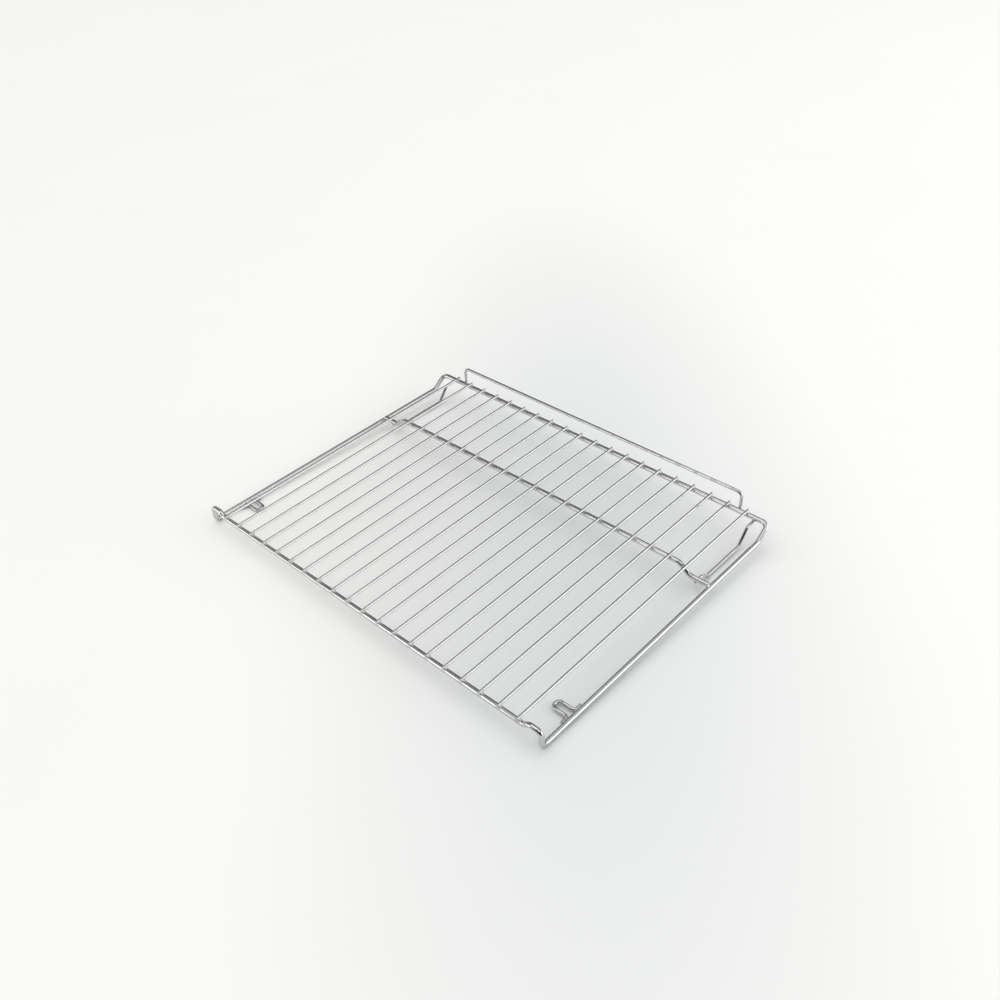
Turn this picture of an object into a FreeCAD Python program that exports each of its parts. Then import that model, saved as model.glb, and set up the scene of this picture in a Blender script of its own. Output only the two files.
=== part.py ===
import FreeCAD, Part
import math
import os

# Oven shelf rack of welded steel wire, in millimetres.
# +X points to the right, +Y to the back of the oven and +Z up.
# The origin is the middle of the shelf, on the level of its lowest wires.

# Grid of straight wires that run from front to back
wire_count = 20
wire_pitch = 22.0
wire_diameter = 3.0
wire_front_reach = 2.4
wire_rear_reach = 3.0

# Frame, one rod bent into a closed loop
rod_diameter = 5.5
rail_spacing = 352.0
side_gap = 25.5
side_rod_lift = 7.3
rail_rise = 13.0
rod_bend_radius = 5.5
rear_corner_radius = 7.0
rear_slope_run = 18.0
slope_foot_radius = 10.0
hump_rise = 4.5
hump_gap = 5.5
hump_slope_run = 7.0
hump_bend_radius = 8.5

# Crossbar under the grid, with both ends bent down to the side rods
crossbar_diameter = 5.5
crossbar_offset = 248.0
crossbar_shoulder = 11.4
crossbar_landing = 7.5
crossbar_bend_radius = 10.0
crossbar_end_inset = 1.5

# Back stop, an arch of wire with both legs on the back of the rear rail
stop_diameter = 3.5
stop_rise = 20.4
stop_corner_radius = 6.0
stop_leg_inset = 10.0
stop_leg_drop = 2.0

# Front stops, flat loops of wire on the inner faces of the side rods
loop_diameter = 3.5
loop_offset = 43.0
loop_leg_spacing = 9.2
loop_reach = 22.3
loop_foot_length = 8.5
loop_foot_radius = 3.5
loop_drop = 1.0

# Rear guides, wires that hang from the rear rail and run forward under the crossbar
guide_diameter = 3.5
guide_inset = 16.2
guide_end_overhang = 2.0
guide_top_run = 12.0
guide_slope_run = 14.5
guide_rise_start = 21.5
guide_rise_end = 10.5
guide_front_overhang = 1.5
guide_bend_radius = 5.0

# A welded wire is set down into the rod that it crosses by this much
weld_set = 0.4

# Radii
wire_radius = wire_diameter / 2
rod_radius = rod_diameter / 2
crossbar_radius = crossbar_diameter / 2
stop_radius = stop_diameter / 2
loop_radius = loop_diameter / 2
guide_radius = guide_diameter / 2

# Places across the shelf, taken from the grid outwards
last_wire_x = (wire_count - 1) * wire_pitch / 2
next_wire_x = last_wire_x - wire_pitch
side_x = last_wire_x + side_gap
stop_leg_x = last_wire_x - stop_leg_inset
hump_base_x = last_wire_x + hump_gap
hump_top_x = hump_base_x + hump_slope_run
guide_x = side_x - guide_inset
crossbar_low_x = guide_x - crossbar_landing
crossbar_high_x = next_wire_x + crossbar_shoulder
crossbar_end_x = side_x - crossbar_end_inset

# Places from front to back, with the rails at equal distances from the origin
front_rail_y = -rail_spacing / 2
rear_rail_y = rail_spacing / 2
stop_y = rear_rail_y + rod_radius + stop_radius - weld_set
crossbar_y = front_rail_y + crossbar_offset
loop_y = front_rail_y + loop_offset

# Heights, taken from the lowest wires upwards
guide_run_z = guide_radius
side_z = side_rod_lift + rod_radius
rail_z = side_z + rail_rise
hump_z = rail_z + hump_rise
wire_z = rail_z + rod_radius + wire_radius - weld_set
crossbar_z = wire_z - wire_radius - crossbar_radius + weld_set
crossbar_end_z = side_z + rod_radius
guide_top_z = rail_z - rod_radius - guide_radius + weld_set
guide_pass_z = crossbar_end_z - crossbar_radius - guide_radius + weld_set
loop_z = side_z - loop_drop
stop_z = rail_z + stop_rise
stop_foot_z = rail_z - stop_leg_drop

# Shorter runs than this are left out between two arcs that meet
shortest_run = 0.001


def point(x, y, z):
    return FreeCAD.Vector(x, y, z)


def bent_wire(corners, bend_radii, diameter):
    """Round wire along straight runs, with a tangent arc at each inner corner."""
    edges = []
    start = corners[0]
    for before, corner, after, radius in zip(corners, corners[1:], corners[2:], bend_radii):
        arriving = (corner - before).normalize()
        leaving = (after - corner).normalize()
        half_turn = arriving.getAngle(leaving) / 2
        setback = radius * math.tan(half_turn)
        arc_start = corner - arriving * setback
        arc_end = corner + leaving * setback
        inward = (leaving - arriving).normalize()
        arc_middle = corner + inward * (radius / math.cos(half_turn) - radius)
        if (arc_start - start).Length > shortest_run:
            edges.append(Part.LineSegment(start, arc_start).toShape())
        edges.append(Part.Arc(arc_start, arc_middle, arc_end).toShape())
        start = arc_end
    edges.append(Part.LineSegment(start, corners[-1]).toShape())
    section = Part.Circle(corners[0], corners[1] - corners[0], diameter / 2).toShape()
    return Part.Wire(edges).makePipeShell([Part.Wire(section)], True, False)


def straight_wire(start, end, diameter):
    return Part.makeCylinder(diameter / 2, (end - start).Length, start, end - start)


def with_mirror_half(half):
    """Join a half that ends on the plane X = 0 to its mirror image, as one piece."""
    other_half = half.mirror(point(0, 0, 0), point(1, 0, 0))
    return half.fuse(other_half).removeSplitter()


def frame_rod():
    """Low side rods, a raised rear rail, and a raised front rail with a hump at each end."""
    corners = [
        point(0, rear_rail_y, rail_z),
        point(side_x, rear_rail_y, rail_z),
        point(side_x, rear_rail_y - rear_slope_run, side_z),
        point(side_x, front_rail_y, side_z),
        point(side_x, front_rail_y, hump_z),
        point(hump_top_x, front_rail_y, hump_z),
        point(hump_base_x, front_rail_y, rail_z),
        point(0, front_rail_y, rail_z),
    ]
    slope_bends = [rear_corner_radius, slope_foot_radius]
    drop_bends = [rod_bend_radius, rod_bend_radius]
    hump_bends = [hump_bend_radius, hump_bend_radius]
    bends = slope_bends + drop_bends + hump_bends
    return with_mirror_half(bent_wire(corners, bends, rod_diameter))


def crossbar(frame):
    """Raised middle under the grid, and low ends that lean on the side rods from inside."""
    corners = [
        point(0, crossbar_y, crossbar_z),
        point(crossbar_high_x, crossbar_y, crossbar_z),
        point(crossbar_low_x, crossbar_y, crossbar_end_z),
        point(crossbar_end_x, crossbar_y, crossbar_end_z),
    ]
    half = bent_wire(corners, [crossbar_bend_radius] * 2, crossbar_diameter)
    return with_mirror_half(half).cut(frame)


def grid_wire(number, frame, bar):
    """Straight wire set down on both rails, and on the crossbar where it runs high."""
    x = (number - 1) * wire_pitch - last_wire_x
    start = point(x, front_rail_y - wire_front_reach, wire_z)
    end = point(x, rear_rail_y + wire_rear_reach, wire_z)
    return straight_wire(start, end, wire_diameter).cut(frame).cut(bar)


def back_stop(frame):
    """Arch behind the grid, with both legs set against the back of the rear rail."""
    corners = [
        point(-stop_leg_x, stop_y, stop_foot_z),
        point(-stop_leg_x, stop_y, stop_z),
        point(stop_leg_x, stop_y, stop_z),
        point(stop_leg_x, stop_y, stop_foot_z),
    ]
    return bent_wire(corners, [stop_corner_radius] * 2, stop_diameter).cut(frame)


def front_stop(side, frame):
    """Loop that points inwards, with a foot along the side rod at each end."""
    centre_distance = rod_radius + loop_radius - weld_set
    foot_x = side * (side_x - math.sqrt(centre_distance**2 - loop_drop**2))
    tip_x = side * (side_x - loop_reach)
    leg_y = loop_leg_spacing / 2
    foot_y = leg_y + loop_foot_length
    corners = [
        point(foot_x, loop_y - foot_y, loop_z),
        point(foot_x, loop_y - leg_y, loop_z),
        point(tip_x, loop_y - leg_y, loop_z),
        point(tip_x, loop_y + leg_y, loop_z),
        point(foot_x, loop_y + leg_y, loop_z),
        point(foot_x, loop_y + foot_y, loop_z),
    ]
    bends = [loop_foot_radius, leg_y, leg_y, loop_foot_radius]
    return bent_wire(corners, bends, loop_diameter).cut(frame)


def rear_guide(side, frame, bar):
    """Wire from under the rear rail down to the lowest level, then up under the crossbar."""
    x = side * guide_x
    slope_top_y = rear_rail_y - guide_top_run
    corners = [
        point(x, rear_rail_y + guide_end_overhang, guide_top_z),
        point(x, slope_top_y, guide_top_z),
        point(x, slope_top_y - guide_slope_run, guide_run_z),
        point(x, crossbar_y + guide_rise_start, guide_run_z),
        point(x, crossbar_y + guide_rise_end, guide_pass_z),
        point(x, crossbar_y - guide_front_overhang, guide_pass_z),
    ]
    bends = [guide_bend_radius] * (len(corners) - 2)
    return bent_wire(corners, bends, guide_diameter).cut(frame).cut(bar)


def build():
    """All pieces of the shelf by name."""
    frame = frame_rod()
    bar = crossbar(frame)
    pieces = {"frame_rod": frame, "crossbar": bar, "back_stop": back_stop(frame)}
    for number in range(1, wire_count + 1):
        pieces[f"grid_wire_{number:02d}"] = grid_wire(number, frame, bar)
    for name, side in (("left", -1), ("right", 1)):
        pieces[f"front_stop_{name}"] = front_stop(side, frame)
        pieces[f"rear_guide_{name}"] = rear_guide(side, frame, bar)
    return pieces


os.makedirs("parts", exist_ok=True)
for piece_name, shape in build().items():
    shape.exportStep(f"parts/{piece_name}.step")
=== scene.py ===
import math

import bpy
from mathutils import Matrix, Vector


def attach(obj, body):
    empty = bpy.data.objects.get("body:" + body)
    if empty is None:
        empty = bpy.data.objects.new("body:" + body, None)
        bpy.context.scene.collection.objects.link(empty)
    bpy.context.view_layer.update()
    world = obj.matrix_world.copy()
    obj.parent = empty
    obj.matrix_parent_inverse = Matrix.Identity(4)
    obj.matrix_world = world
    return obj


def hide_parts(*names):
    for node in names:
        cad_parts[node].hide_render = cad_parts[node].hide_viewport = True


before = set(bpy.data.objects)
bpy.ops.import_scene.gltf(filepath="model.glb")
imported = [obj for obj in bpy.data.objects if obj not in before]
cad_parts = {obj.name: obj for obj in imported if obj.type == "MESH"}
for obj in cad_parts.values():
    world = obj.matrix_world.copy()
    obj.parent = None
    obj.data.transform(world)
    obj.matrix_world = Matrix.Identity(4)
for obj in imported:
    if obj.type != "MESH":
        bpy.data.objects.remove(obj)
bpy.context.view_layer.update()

# Sizes of the shelf are in millimetres, in the frame of the solids. MM turns them into metres.
MM = 0.001

# Grid wires
WIRE_COUNT = 20
WIRE_PITCH = 22.0
WIRE_RADIUS = 1.5
WIRE_Z = 26.9
WIRE_FRONT_Y = -178.4
WIRE_REAR_Y = 179.0
LAST_WIRE_X = (WIRE_COUNT - 1) * WIRE_PITCH / 2

# Frame rod
ROD_RADIUS = 2.75
FRONT_Y = -176.0
REAR_Y = 176.0
SIDE_X = 234.5
SIDE_Z = 10.05
RAIL_Z = 23.05
HUMP_Z = 27.55
HUMP_BASE_X = 214.5
HUMP_TOP_X = 221.5
SLOPE_FOOT_Y = 158.0
ROD_BEND = 5.5
REAR_CORNER_BEND = 7.0
SLOPE_FOOT_BEND = 10.0
HUMP_BEND = 8.5

# Crossbar
CROSSBAR_RADIUS = 2.75
CROSSBAR_Y = 72.0
CROSSBAR_Z = 23.05
CROSSBAR_END_Z = 12.8
CROSSBAR_HIGH_X = 198.4
CROSSBAR_LOW_X = 210.8
CROSSBAR_END_X = 233.0
CROSSBAR_BEND = 10.0

# Thinner bent wires: back stop, front stops and rear guides
THIN_RADIUS = 1.75
STOP_LEG_X = 199.0
STOP_Y = 180.1
STOP_Z = 43.45
STOP_FOOT_Z = 21.05
STOP_BEND = 6.0
LOOP_Y = -133.0
LOOP_Z = 9.05
LOOP_FOOT_X = 230.524
LOOP_TIP_X = 212.2
LOOP_LEG = 4.6
LOOP_FOOT = 13.1
LOOP_FOOT_BEND = 3.5
GUIDE_X = 218.3
GUIDE_REAR_END_Y = 178.0
GUIDE_SLOPE_TOP_Y = 164.0
GUIDE_SLOPE_FOOT_Y = 149.5
GUIDE_RISE_FOOT_Y = 93.5
GUIDE_RISE_TOP_Y = 82.5
GUIDE_FRONT_END_Y = 70.5
GUIDE_TOP_Z = 18.95
GUIDE_RUN_Z = 1.75
GUIDE_PASS_Z = 8.7
GUIDE_BEND = 5.0

# Divisions around the sections, and the edge angle in radians from which a wire's edge stays sharp
ROD_SIDES = 32
WIRE_SIDES = 28
SHARP_ANGLE = 0.5
MERGE_DISTANCE = 0.002

# Chamfer at the cut ends of the wires
CUT_CHAMFER = 0.3

# Weld beads: half sizes along X, Y and Z, and the places that follow from no other size
WELD_SET = 0.4
BEAD_UNDER_WIRE = (2.3, 2.5, 0.95)
BEAD_BEHIND_RAIL = (2.4, 0.95, 2.5)
BEAD_OVER_GUIDE = (2.4, 2.5, 0.95)
BEAD_AT_CROSSBAR_END = (1.5, 3.3, 1.5)
BEAD_ALONG_FOOT = (0.9, 2.9, 1.9)
CROSSBAR_END_BEAD = 2.0
FOOT_BEAD_X = 231.8
FOOT_BEAD_FROM_LOOP = 10.6
FOOT_BEAD_Z = 9.4
BEAD_UNEVENNESS = 0.5

# Dull patches at the welds: fully dull within the first distance, and clear past the second
DULL_ACROSS_WIRE = (1.6, 4.2)
DULL_ALONG_WIRE = (2.4, 5.0)
GRID_MARGIN = 5.0

# Plating: its colours, and the scales of its drawn lines, soft clouds and fine grain
PLATING = (0.62, 0.62, 0.625)
DULL_METAL = (0.46, 0.455, 0.44)
DRAWN_SCALE = 2200.0
DRAWN_STRETCH = 0.012
CLOUD_SCALE = 70.0
GRAIN_SCALE = 1400.0
BUMP_HEIGHT = 0.004

# Points that the shelf rests on: the guides' front bends at Z = 0, and the side rods' front ends
REST_REAR_Y = 92.1
REST_FRONT_Y = -170.5
REST_FRONT_Z = 7.3

# Floor, in metres: half its width, its pale tone and its painted shade tone, and the oval of
# painted shade, in which it is deeper in tone to stand in for the shelf's shadow
FLOOR_HALF = 6.0
FLOOR_PAINTED_SHADE = (0.715, 0.73, 0.73)
FLOOR_PALE = (0.877, 0.873, 0.849)
SHADE_OVAL_CENTRE = (0.0965, 0.0494, 0.0)
SHADE_OVAL_TURN = (0.0, 0.0, 0.724)
SHADE_OVAL_REACH = (0.364, 1.119, 1.0)

# Surroundings
CARD_TINT = (1.0, 0.995, 0.985, 1)
LOW_SKY = (0.9, 0.9, 0.9)
HIGH_SKY = (0.82, 0.83, 0.84)
BACKDROP = (0.93, 0.93, 0.915, 1)


class Socket:
    """An output of a node, with the sums that are used on it."""

    def __init__(self, tree, output):
        self.tree = tree
        self.output = output

    def sum(self, operation, first, second=0.0):
        return self.tree.node("ShaderNodeMath", {"operation": operation}, {0: first, 1: second})

    def __add__(self, other):
        return self.sum("ADD", self, other)

    def __radd__(self, other):
        return self.sum("ADD", other, self)

    def __sub__(self, other):
        return self.sum("SUBTRACT", self, other)

    def __rsub__(self, other):
        return self.sum("SUBTRACT", other, self)

    def __mul__(self, other):
        return self.sum("MULTIPLY", self, other)

    def __rmul__(self, other):
        return self.sum("MULTIPLY", other, self)

    def __abs__(self):
        return self.sum("ABSOLUTE", self)


class Tree:
    """A node tree, to which nodes are added by type, settings and socket values."""

    def __init__(self, tree):
        self.tree = tree

    def node(self, kind, settings=None, values=None, output=0):
        node = self.tree.nodes.new(kind)
        for name, value in (settings or {}).items():
            setattr(node, name, value)
        for name, value in (values or {}).items():
            socket = node.inputs[name]
            if isinstance(value, Socket):
                self.tree.links.new(value.output, socket)
            else:
                socket.default_value = value
        return Socket(self, node.outputs[output])

    def end(self, kind, values):
        """The node that a tree ends in, with its sockets linked."""
        node = self.tree.nodes.new(kind)
        for name, value in values.items():
            self.tree.links.new(value.output, node.inputs[name])


# Finishes


def new_material(name):
    material = bpy.data.materials.new(name)
    material.use_nodes = True
    material.node_tree.nodes.clear()
    return material, Tree(material.node_tree)


def smooth_step(tree, value, start, end):
    """0 at start and 1 at end, with soft ends."""
    ranges = {"Value": value, "From Min": start, "From Max": end, "To Min": 0.0, "To Max": 1.0}
    return tree.node("ShaderNodeMapRange", {"interpolation_type": "SMOOTHSTEP"}, ranges)


def near(tree, distance, limits):
    """1 within the first limit and 0 past the second, with the limits in millimetres."""
    full, none = limits
    return smooth_step(tree, distance, none * MM, full * MM)


def larger(first, second):
    return first.sum("MAXIMUM", first, second)


def coordinates(tree, vector):
    """X, Y and Z of a vector."""
    parts = tree.node("ShaderNodeSeparateXYZ", {}, {0: vector}).output.node.outputs
    return [Socket(tree, part) for part in parts]


def noise(tree, place, scale, detail):
    values = {"Vector": place, "Scale": scale, "Detail": detail}
    return tree.node("ShaderNodeTexNoise", {}, values)


def mixed_colour(tree, share, first, second):
    """The first colour where the share is 0, and the second where it is 1."""
    values = {0: share, 6: (*first, 1), 7: (*second, 1)}
    return tree.node("ShaderNodeMix", {"data_type": "RGBA"}, values, output=2)


def weld_zone(tree, place):
    """1 close to the weld of a grid wire on a rail or the crossbar, and 0 away from it."""
    x, y, _ = coordinates(tree, place)
    from_wire = x.sum("PINGPONG", x + LAST_WIRE_X * MM, WIRE_PITCH * MM / 2)
    on_grid = x.sum("LESS_THAN", abs(x), (LAST_WIRE_X + GRID_MARGIN) * MM)
    near_wire = on_grid * near(tree, from_wire, DULL_ACROSS_WIRE)
    on_crossbar = x.sum("LESS_THAN", abs(x), CROSSBAR_HIGH_X * MM)
    near_rail = on_crossbar * near(tree, abs(y - CROSSBAR_Y * MM), DULL_ALONG_WIRE)
    for rail_y in (FRONT_Y, REAR_Y):
        near_rail = larger(near_rail, near(tree, abs(y - rail_y * MM), DULL_ALONG_WIRE))
    return near_wire * near_rail


def plated_wire_finish():
    """Bright plating on drawn wire: faint lines along it, soft clouds, dull welds and cut ends."""
    material, tree = new_material("plated_wire")
    place = tree.node("ShaderNodeTexCoord", output="Object")
    section = tree.node("ShaderNodeAttribute", {"attribute_name": "section"}, output="Vector")
    along = tree.node("ShaderNodeAttribute", {"attribute_name": "along"}, output="Fac")
    cut_end = tree.node("ShaderNodeAttribute", {"attribute_name": "cut_end"}, output="Fac")
    on_length = tree.node("ShaderNodeCombineXYZ", {}, {"Z": along * DRAWN_STRETCH})
    added = {0: section, 1: on_length}
    drawn_place = tree.node("ShaderNodeVectorMath", {"operation": "ADD"}, added)
    drawn = noise(tree, drawn_place, DRAWN_SCALE, 2.0)
    cloud = noise(tree, place, CLOUD_SCALE, 3.0)
    grain = noise(tree, place, GRAIN_SCALE, 2.0)
    weld = weld_zone(tree, place)
    dull = larger(weld * (0.45 + 0.55 * grain), cut_end * 0.9)
    colour = mixed_colour(tree, dull * 0.7, PLATING, DULL_METAL)
    roughness = 0.06 + 0.07 * cloud + 0.06 * drawn + 0.22 * dull
    height = drawn * 0.6 + grain * (0.15 + 0.6 * dull)
    relief = {"Strength": 0.3, "Distance": BUMP_HEIGHT * MM, "Height": height}
    bump = tree.node("ShaderNodeBump", {}, relief)
    surface = {"Base Color": colour, "Metallic": 1.0, "Roughness": roughness, "Normal": bump}
    shader = tree.node("ShaderNodeBsdfPrincipled", {}, surface)
    tree.end("ShaderNodeOutputMaterial", {"Surface": shader})
    return material


def floor_finish():
    """Pale matt paper, with painted shade in a long oval that crosses under the shelf, where it is
    a little deeper in tone.
    """
    material, tree = new_material("pale_floor_with_painted_shade")
    place = tree.node("ShaderNodeTexCoord", output="Object")
    cloud = noise(tree, place, 2.5, 2.0)
    shade_oval = {"Vector": place, "Location": SHADE_OVAL_CENTRE, "Rotation": SHADE_OVAL_TURN, "Scale": SHADE_OVAL_REACH}
    in_shade_oval = tree.node("ShaderNodeMapping", {"vector_type": "TEXTURE"}, shade_oval)
    length = {"operation": "LENGTH"}
    distance = tree.node("ShaderNodeVectorMath", length, {0: in_shade_oval}, output="Value")
    out_of_painted_shade = smooth_step(tree, distance, 0.0, 1.0)
    # Painted shade: the floor is deeper in tone inside the oval, standing in for the shelf's
    # shadow and the uneven fall of light.
    colour = mixed_colour(tree, out_of_painted_shade * (0.9 + 0.2 * cloud), FLOOR_PAINTED_SHADE, FLOOR_PALE)
    surface = {"Base Color": colour, "Roughness": 0.75, "Specular IOR Level": 0.0}
    shader = tree.node("ShaderNodeBsdfPrincipled", {}, surface)
    tree.end("ShaderNodeOutputMaterial", {"Surface": shader})
    return material


def card_finish(name, level):
    """A card that mirrors in the wires with one even level of light."""
    material, tree = new_material(name)
    shader = tree.node("ShaderNodeEmission", {}, {"Color": CARD_TINT, "Strength": level})
    tree.end("ShaderNodeOutputMaterial", {"Surface": shader})
    return material


# Node trees that make the wires and the welds


def new_geometry_tree(name, inputs):
    """A tree that takes a geometry and the named inputs, each with its socket type."""
    group = bpy.data.node_groups.new(name, "GeometryNodeTree")
    group.interface.new_socket("Geometry", in_out="INPUT", socket_type="NodeSocketGeometry")
    for label, kind in inputs:
        group.interface.new_socket(label, in_out="INPUT", socket_type=kind)
    group.interface.new_socket("Geometry", in_out="OUTPUT", socket_type="NodeSocketGeometry")
    tree = Tree(group)
    start = group.nodes.new("NodeGroupInput")
    given = {socket.name: Socket(tree, socket) for socket in start.outputs if socket.name}
    return group, tree, given


def store(tree, geometry, name, value, kind="FLOAT"):
    return tree.node(
        "GeometryNodeStoreNamedAttribute",
        {"data_type": kind, "domain": "POINT"},
        {"Geometry": geometry, "Name": name, "Value": value},
    )


def named(tree, name, kind="FLOAT"):
    return tree.node("GeometryNodeInputNamedAttribute", {"data_type": kind}, {"Name": name})


def realized(tree, geometry):
    return tree.node("GeometryNodeRealizeInstances", {}, {"Geometry": geometry})


def smooth_faces(tree, geometry):
    return tree.node("GeometryNodeSetShadeSmooth", {"domain": "FACE"}, {"Geometry": geometry})


def with_finish(tree, geometry, finish):
    values = {"Geometry": geometry, "Material": finish}
    return tree.node("GeometryNodeSetMaterial", {}, values)


def bent_wire_tree():
    """Sweeps a round section along a path of corners, with a rounded bend at each corner."""
    inputs = [
        ("Radius", "NodeSocketFloat"),
        ("Sides", "NodeSocketInt"),
        ("Bend Steps", "NodeSocketInt"),
        ("Finish", "NodeSocketMaterial"),
    ]
    group, tree, given = new_geometry_tree("Bent wire", inputs)
    path = tree.node("GeometryNodeMeshToCurve", {}, {"Mesh": given["Geometry"]})
    rounded = tree.node(
        "GeometryNodeFilletCurve",
        {"mode": "POLY"},
        {
            "Curve": path,
            "Count": given["Bend Steps"],
            "Radius": named(tree, "bend"),
            "Limit Radius": False,
        },
    )
    done = tree.node("GeometryNodeSplineParameter", output="Length")
    whole = tree.node("GeometryNodeSplineLength", output="Length")
    measured = store(tree, rounded, "along", abs(done - whole * 0.5))
    ring = tree.node(
        "GeometryNodeCurvePrimitiveCircle",
        {},
        {"Resolution": given["Sides"], "Radius": given["Radius"]},
    )
    place = tree.node("GeometryNodeInputPosition")
    section = store(tree, ring, "section", place, "FLOAT_VECTOR")
    swept = tree.node(
        "GeometryNodeCurveToMesh",
        {},
        {
            "Curve": measured,
            "Profile Curve": section,
            "Scale": named(tree, "thickness"),
            "Fill Caps": True,
        },
    )
    merged = tree.node(
        "GeometryNodeMergeByDistance",
        {},
        {"Geometry": swept, "Distance": MERGE_DISTANCE * MM},
    )
    angle = tree.node("GeometryNodeInputMeshEdgeAngle")
    sharp = {0: angle, 1: SHARP_ANGLE}
    creased = tree.node("FunctionNodeCompare", {"operation": "GREATER_THAN"}, sharp)
    shaded = tree.node(
        "GeometryNodeSetShadeSmooth",
        {"domain": "EDGE"},
        {"Geometry": smooth_faces(tree, merged), "Selection": creased, "Shade Smooth": False},
    )
    finished = with_finish(tree, realized(tree, shaded), given["Finish"])
    tree.end("NodeGroupOutput", {0: finished})
    return group


def wire_row_tree(bent_wire):
    """Repeats one wire's path at equal distances across the shelf, and sweeps them all."""
    inputs = [
        ("Count", "NodeSocketInt"),
        ("Pitch", "NodeSocketVector"),
        ("First", "NodeSocketVector"),
        ("Radius", "NodeSocketFloat"),
        ("Sides", "NodeSocketInt"),
        ("Finish", "NodeSocketMaterial"),
    ]
    group, tree, given = new_geometry_tree("Row of wires", inputs)
    places = tree.node(
        "GeometryNodeMeshLine",
        {},
        {"Count": given["Count"], "Start Location": given["First"], "Offset": given["Pitch"]},
    )
    copies = tree.node(
        "GeometryNodeInstanceOnPoints",
        {},
        {"Points": places, "Instance": given["Geometry"]},
    )
    swept = tree.node(
        "GeometryNodeGroup",
        {"node_tree": bent_wire},
        {
            "Geometry": realized(tree, copies),
            "Radius": given["Radius"],
            "Sides": given["Sides"],
            "Bend Steps": 1,
            "Finish": given["Finish"],
        },
    )
    tree.end("NodeGroupOutput", {0: swept})
    return group


def weld_bead_tree():
    """Sets an uneven bead on each point, as large as the point's own size says."""
    inputs = [
        ("Unevenness", "NodeSocketFloat"),
        ("Finish", "NodeSocketMaterial"),
    ]
    group, tree, given = new_geometry_tree("Weld beads", inputs)
    bead = tree.node("GeometryNodeMeshIcoSphere", {}, {"Radius": 1.0, "Subdivisions": 3})
    size = named(tree, "size", "FLOAT_VECTOR")
    beads = tree.node(
        "GeometryNodeInstanceOnPoints",
        {},
        {"Points": given["Geometry"], "Instance": bead, "Scale": size},
    )
    place = tree.node("GeometryNodeInputPosition")
    lumps = tree.node(
        "ShaderNodeTexNoise",
        {"noise_dimensions": "4D"},
        {"Vector": place, "W": 3.0, "Scale": 520.0, "Detail": 1.0},
    )
    swell = (lumps - 0.5) * given["Unevenness"]
    normal = tree.node("GeometryNodeInputNormal")
    push = tree.node("ShaderNodeVectorMath", {"operation": "SCALE"}, {0: normal, "Scale": swell})
    uneven = tree.node(
        "GeometryNodeSetPosition",
        {},
        {"Geometry": realized(tree, beads), "Offset": push},
    )
    finished = with_finish(tree, smooth_faces(tree, uneven), given["Finish"])
    tree.end("NodeGroupOutput", {0: finished})
    return group


# Pieces


def set_values(mesh, name, values):
    """Keeps one number for each point of a mesh."""
    mesh.attributes.new(name, "FLOAT", "POINT").data.foreach_set("value", values)


def path_mesh(name, corners, bends, radius, closed=False):
    """A path through corners, with the bend at each corner and a chamfer at each cut end."""
    points = [Vector(corner) for corner in corners]
    turns = list(bends) if closed else [0.0] + list(bends) + [0.0]
    thickness = [1.0] * len(points)
    if not closed:
        first = points[0] + (points[1] - points[0]).normalized() * CUT_CHAMFER
        last = points[-1] + (points[-2] - points[-1]).normalized() * CUT_CHAMFER
        points = [points[0], first] + points[1:-1] + [last, points[-1]]
        turns = [0.0] + turns + [0.0]
        cut = 1.0 - CUT_CHAMFER / radius
        thickness = [cut, 1.0] + thickness[1:-1] + [1.0, cut]
    mesh = bpy.data.meshes.new(name)
    links = [(n, n + 1) for n in range(len(points) - 1)]
    if closed:
        links.append((len(points) - 1, 0))
    mesh.from_pydata([point * MM for point in points], links, [])
    set_values(mesh, "bend", [turn * MM for turn in turns])
    set_values(mesh, "thickness", thickness)
    set_values(mesh, "cut_end", [float(share < 1.0) for share in thickness])
    return mesh


def wire_sizes(radius, sides, bend_steps, finish):
    return {"Radius": radius * MM, "Sides": sides, "Bend Steps": bend_steps, "Finish": finish}


def piece_from(name, start_mesh, group, inputs, *nodes):
    """Runs a tree on a start mesh, keeps the result as a plain mesh, and puts it in the frame."""
    piece = bpy.data.objects.new(name, start_mesh)
    bpy.context.scene.collection.objects.link(piece)
    modifier = piece.modifiers.new("making", "NODES")
    modifier.node_group = group
    for socket in group.interface.items_tree:
        if socket.in_out == "INPUT" and socket.name in inputs:
            modifier[socket.identifier] = inputs[socket.name]
    bpy.context.view_layer.update()
    made = piece.evaluated_get(bpy.context.evaluated_depsgraph_get())
    result = bpy.data.meshes.new_from_object(made)
    piece.modifiers.remove(modifier)
    piece.data = result
    result.name = name
    bpy.data.meshes.remove(start_mesh)
    if nodes:
        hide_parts(*nodes)
    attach(piece, "root")


def mirrored(half):
    """The mirror image at -X of the corners of a half, in reverse order."""
    return [(-x, y, z) for x, y, z in reversed(half)]


def make_frame_rod(tree, finish):
    half = [
        (SIDE_X, REAR_Y, RAIL_Z),
        (SIDE_X, SLOPE_FOOT_Y, SIDE_Z),
        (SIDE_X, FRONT_Y, SIDE_Z),
        (SIDE_X, FRONT_Y, HUMP_Z),
        (HUMP_TOP_X, FRONT_Y, HUMP_Z),
        (HUMP_BASE_X, FRONT_Y, RAIL_Z),
    ]
    bends = [REAR_CORNER_BEND, SLOPE_FOOT_BEND, ROD_BEND, ROD_BEND, HUMP_BEND, HUMP_BEND]
    corners = half + mirrored(half)
    path = path_mesh("frame_rod_path", corners, bends + bends[::-1], ROD_RADIUS, closed=True)
    sizes = wire_sizes(ROD_RADIUS, ROD_SIDES, 12, finish)
    piece_from("plated_frame_rod", path, tree, sizes, "frame_rod")


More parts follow.
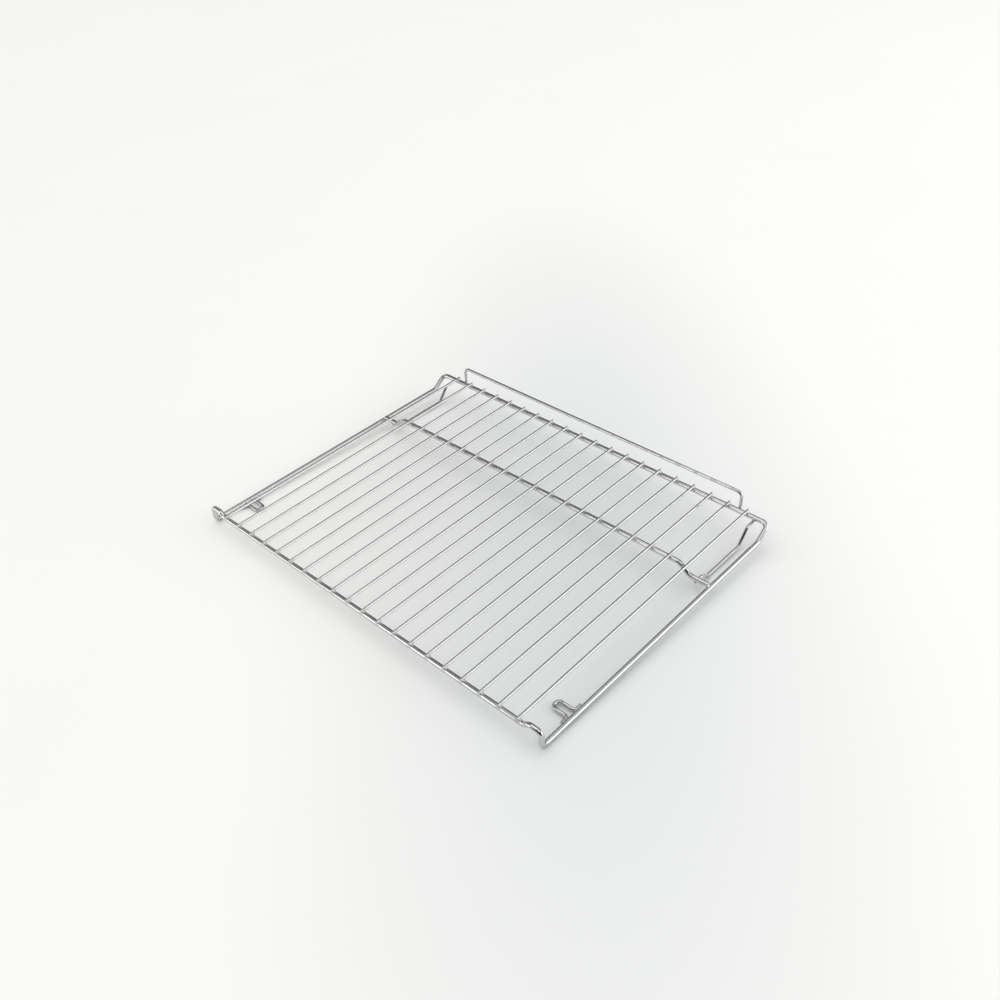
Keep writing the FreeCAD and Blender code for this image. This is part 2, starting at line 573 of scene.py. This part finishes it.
def make_crossbar(tree, finish):
    half = [
        (CROSSBAR_HIGH_X, CROSSBAR_Y, CROSSBAR_Z),
        (CROSSBAR_LOW_X, CROSSBAR_Y, CROSSBAR_END_Z),
        (CROSSBAR_END_X, CROSSBAR_Y, CROSSBAR_END_Z),
    ]
    corners = mirrored(half) + half
    path = path_mesh("crossbar_path", corners, [CROSSBAR_BEND] * 4, CROSSBAR_RADIUS)
    sizes = wire_sizes(CROSSBAR_RADIUS, ROD_SIDES, 10, finish)
    piece_from("plated_crossbar", path, tree, sizes, "crossbar")


def make_grid_wires(tree, finish):
    ends = [(0, WIRE_FRONT_Y, WIRE_Z), (0, WIRE_REAR_Y, WIRE_Z)]
    path = path_mesh("grid_wire_path", ends, [], WIRE_RADIUS)
    sizes = {
        "Count": WIRE_COUNT,
        "Pitch": (WIRE_PITCH * MM, 0, 0),
        "First": (-LAST_WIRE_X * MM, 0, 0),
        "Radius": WIRE_RADIUS * MM,
        "Sides": WIRE_SIDES,
        "Finish": finish,
    }
    nodes = [f"grid_wire_{number:02d}" for number in range(1, WIRE_COUNT + 1)]
    piece_from("plated_grid_wires", path, tree, sizes, *nodes)


def make_back_stop(tree, finish):
    half = [(STOP_LEG_X, STOP_Y, STOP_Z), (STOP_LEG_X, STOP_Y, STOP_FOOT_Z)]
    path = path_mesh("back_stop_path", mirrored(half) + half, [STOP_BEND] * 2, THIN_RADIUS)
    sizes = wire_sizes(THIN_RADIUS, WIRE_SIDES, 12, finish)
    piece_from("plated_back_stop", path, tree, sizes, "back_stop")


def make_front_stop(tree, finish, name, side):
    corners = [
        (side * LOOP_FOOT_X, LOOP_Y - LOOP_FOOT, LOOP_Z),
        (side * LOOP_FOOT_X, LOOP_Y - LOOP_LEG, LOOP_Z),
        (side * LOOP_TIP_X, LOOP_Y - LOOP_LEG, LOOP_Z),
        (side * LOOP_TIP_X, LOOP_Y + LOOP_LEG, LOOP_Z),
        (side * LOOP_FOOT_X, LOOP_Y + LOOP_LEG, LOOP_Z),
        (side * LOOP_FOOT_X, LOOP_Y + LOOP_FOOT, LOOP_Z),
    ]
    bends = [LOOP_FOOT_BEND, LOOP_LEG, LOOP_LEG, LOOP_FOOT_BEND]
    path = path_mesh("front_stop_path", corners, bends, THIN_RADIUS)
    sizes = wire_sizes(THIN_RADIUS, WIRE_SIDES, 14, finish)
    piece_from(f"plated_front_stop_{name}", path, tree, sizes, f"front_stop_{name}")


def make_rear_guide(tree, finish, name, side):
    x = side * GUIDE_X
    corners = [
        (x, GUIDE_REAR_END_Y, GUIDE_TOP_Z),
        (x, GUIDE_SLOPE_TOP_Y, GUIDE_TOP_Z),
        (x, GUIDE_SLOPE_FOOT_Y, GUIDE_RUN_Z),
        (x, GUIDE_RISE_FOOT_Y, GUIDE_RUN_Z),
        (x, GUIDE_RISE_TOP_Y, GUIDE_PASS_Z),
        (x, GUIDE_FRONT_END_Y, GUIDE_PASS_Z),
    ]
    path = path_mesh("rear_guide_path", corners, [GUIDE_BEND] * 4, THIN_RADIUS)
    sizes = wire_sizes(THIN_RADIUS, WIRE_SIDES, 10, finish)
    piece_from(f"plated_rear_guide_{name}", path, tree, sizes, f"rear_guide_{name}")


def bead_places():
    """Place and half sizes of each bead, where wires cross a rod or lie along it."""
    beads = []
    for number in range(WIRE_COUNT):
        x = number * WIRE_PITCH - LAST_WIRE_X
        z = RAIL_Z + ROD_RADIUS - WELD_SET / 2
        beads.append(((x, FRONT_Y, z), BEAD_UNDER_WIRE))
        beads.append(((x, REAR_Y, z), BEAD_UNDER_WIRE))
        if abs(x) < CROSSBAR_HIGH_X:
            beads.append(((x, CROSSBAR_Y, z), BEAD_UNDER_WIRE))
    for side in (-1, 1):
        guide_x = side * GUIDE_X
        end_x = side * (SIDE_X - CROSSBAR_END_BEAD)
        end_z = SIDE_Z + CROSSBAR_END_BEAD
        under_crossbar_z = CROSSBAR_END_Z - CROSSBAR_RADIUS
        beads.append(((side * STOP_LEG_X, REAR_Y + ROD_RADIUS, RAIL_Z), BEAD_BEHIND_RAIL))
        beads.append(((guide_x, REAR_Y, RAIL_Z - ROD_RADIUS), BEAD_OVER_GUIDE))
        beads.append(((guide_x, CROSSBAR_Y, under_crossbar_z), BEAD_OVER_GUIDE))
        beads.append(((end_x, CROSSBAR_Y, end_z), BEAD_AT_CROSSBAR_END))
        for end in (-1, 1):
            foot_y = LOOP_Y + end * FOOT_BEAD_FROM_LOOP
            beads.append(((side * FOOT_BEAD_X, foot_y, FOOT_BEAD_Z), BEAD_ALONG_FOOT))
    return beads


def make_weld_beads(tree, finish):
    beads = bead_places()
    mesh = bpy.data.meshes.new("weld_places")
    mesh.from_pydata([Vector(place) * MM for place, size in beads], [], [])
    sizes = [number * MM for place, size in beads for number in size]
    mesh.attributes.new("size", "FLOAT_VECTOR", "POINT").data.foreach_set("vector", sizes)
    inputs = {"Unevenness": BEAD_UNEVENNESS * MM, "Finish": finish}
    piece_from("weld_beads", mesh, tree, inputs)


# Stage, in metres


def plane(name, corners, material):
    mesh = bpy.data.meshes.new(name)
    mesh.from_pydata(corners, [], [(0, 1, 2, 3)])
    mesh.materials.append(material)
    card = bpy.data.objects.new(name, mesh)
    bpy.context.scene.collection.objects.link(card)
    return card


def make_floor(finish):
    """The shelf leans forward by its own shape, so the floor follows the points it rests on."""
    slope = REST_FRONT_Z / (REST_REAR_Y - REST_FRONT_Y)
    left, right = -FLOOR_HALF, FLOOR_HALF
    front, rear = -FLOOR_HALF, FLOOR_HALF
    front_z = (REST_REAR_Y * MM - front) * slope
    rear_z = (REST_REAR_Y * MM - rear) * slope
    corners = [
        (left, front, front_z),
        (right, front, front_z),
        (right, rear, rear_z),
        (left, rear, rear_z),
    ]
    plane("floor", corners, finish)


def on_edge(start, end, low, high):
    """Corners of an upright card from start to end."""
    return [(*start, low), (*end, low), (*end, high), (*start, high)]


def overhead(first, opposite, height):
    """Corners of a level card between two opposite corners."""
    (x, y), (far_x, far_y) = first, opposite
    return [(x, y, height), (far_x, y, height), (far_x, far_y, height), (x, far_y, height)]


def make_card(name, finish, corners):
    """A card that shows only in the wires' reflections."""
    card = plane(name, corners, finish)
    card.visible_camera = False
    card.visible_diffuse = False
    card.visible_shadow = False


def make_light(name, place, target, size, watts, colour):
    lamp = bpy.data.lights.new(name, "AREA")
    lamp.shape = "RECTANGLE"
    lamp.size, lamp.size_y = size
    lamp.energy = watts
    lamp.color = colour
    light = bpy.data.objects.new(name, lamp)
    light.location = place
    light.rotation_euler = (Vector(target) - Vector(place)).to_track_quat("-Z", "Y").to_euler()
    bpy.context.scene.collection.objects.link(light)


def make_sun(name, toward, spread, strength, colour):
    """Wide soft light from one side, which the wires themselves don't mirror."""
    lamp = bpy.data.lights.new(name, "SUN")
    lamp.angle = math.radians(spread)
    lamp.energy = strength
    lamp.color = colour
    light = bpy.data.objects.new(name, lamp)
    light.rotation_euler = (-Vector(toward)).to_track_quat("-Z", "Y").to_euler()
    light.visible_glossy = False
    bpy.context.scene.collection.objects.link(light)


def make_world():
    """Pale light from all round, and an even backdrop behind the floor."""
    world = bpy.data.worlds.new("studio")
    bpy.context.scene.world = world
    world.use_nodes = True
    world.node_tree.nodes.clear()
    tree = Tree(world.node_tree)
    toward = tree.node("ShaderNodeTexCoord", output="Generated")
    _, _, height = coordinates(tree, toward)
    colour = mixed_colour(tree, smooth_step(tree, height, 0.0, 0.9), LOW_SKY, HIGH_SKY)
    surroundings = tree.node("ShaderNodeBackground", {}, {"Color": colour, "Strength": 0.8})
    backdrop = tree.node("ShaderNodeBackground", {}, {"Color": BACKDROP, "Strength": 1.0})
    seen = tree.node("ShaderNodeLightPath", output="Is Camera Ray")
    sky = tree.node("ShaderNodeMixShader", {}, {0: seen, 1: surroundings, 2: backdrop})
    tree.end("ShaderNodeOutputWorld", {"Surface": sky})


def make_camera():
    """Camera at the photograph's viewing angle."""
    place = Vector((595.16, -565.48, 695.79)) * MM
    right = Vector((0.733168, 0.678098, -0.051461))
    down = Vector((0.393222, -0.484461, -0.781456))
    forward = Vector((-0.554835, 0.552703, -0.621834))
    data = bpy.data.cameras.new("camera")
    data.sensor_width = 36.0
    data.lens = 36.38
    camera = bpy.data.objects.new("camera", data)
    turn = Matrix((right, -down, -forward)).transposed().to_4x4()
    camera.matrix_world = Matrix.Translation(place) @ turn
    bpy.context.scene.collection.objects.link(camera)
    bpy.context.scene.camera = camera


finish = plated_wire_finish()
bent_wire = bent_wire_tree()
make_frame_rod(bent_wire, finish)
make_crossbar(bent_wire, finish)
make_grid_wires(wire_row_tree(bent_wire), finish)
make_back_stop(bent_wire, finish)
for side_name, side_sign in (("left", -1), ("right", 1)):
    make_front_stop(bent_wire, finish, side_name, side_sign)
    make_rear_guide(bent_wire, finish, side_name, side_sign)
make_weld_beads(weld_bead_tree(), finish)

make_floor(floor_finish())
dark = card_finish("dark_card", 0.015)
grey = card_finish("grey_card", 0.32)
pale = card_finish("pale_card", 1.3)
bright = card_finish("bright_card", 2.3)
make_card("card_left", grey, on_edge((-1.9, -0.3), (-0.98, 0.58), 0.03, 0.6))
make_card("card_back_left", dark, on_edge((-0.98, 0.58), (0.5, 2.0), 0.03, 1.05))
make_card("card_front_left", dark, on_edge((-1.9, -0.3), (-0.6, -1.9), 0.63, 2.0))
make_card("card_front", dark, on_edge((-0.6, -1.9), (1.9, -1.9), 0.05, 2.5))
make_card("card_front_right", dark, on_edge((1.9, -1.9), (2.6, -0.3), 0.05, 2.7))
make_card("card_overhead", grey, overhead((-2.6, -1.3), (-0.33, 1.6), 1.0))
make_card("card_low_front", dark, on_edge((-0.42, -1.3), (0.12, -1.3), 0.0, 0.8))
make_card("panel_front_left", bright, on_edge((-1.9, -1.3), (-0.42, -1.3), 0.12, 1.0))
make_card("panel_overhead", pale, overhead((-0.33, -0.8), (0.15, 0.3), 1.0))
make_card("panel_right", pale, overhead((0.4, -0.6), (0.95, 0.05), 1.0))
make_sun(
    "daylight",
    toward=(-0.45, 0.05, 0.9),
    spread=80.0,
    strength=1.25,
    colour=(1.0, 0.99, 0.97),
)
make_light(
    "window",
    place=(3.1, 2.2, 1.1),
    target=(0, 0, 0.1),
    size=(3.9, 1.95),
    watts=49.0,
    colour=(0.96, 0.985, 1.0),
)
make_world()
make_camera()

bpy.context.scene.view_settings.view_transform = "Standard"
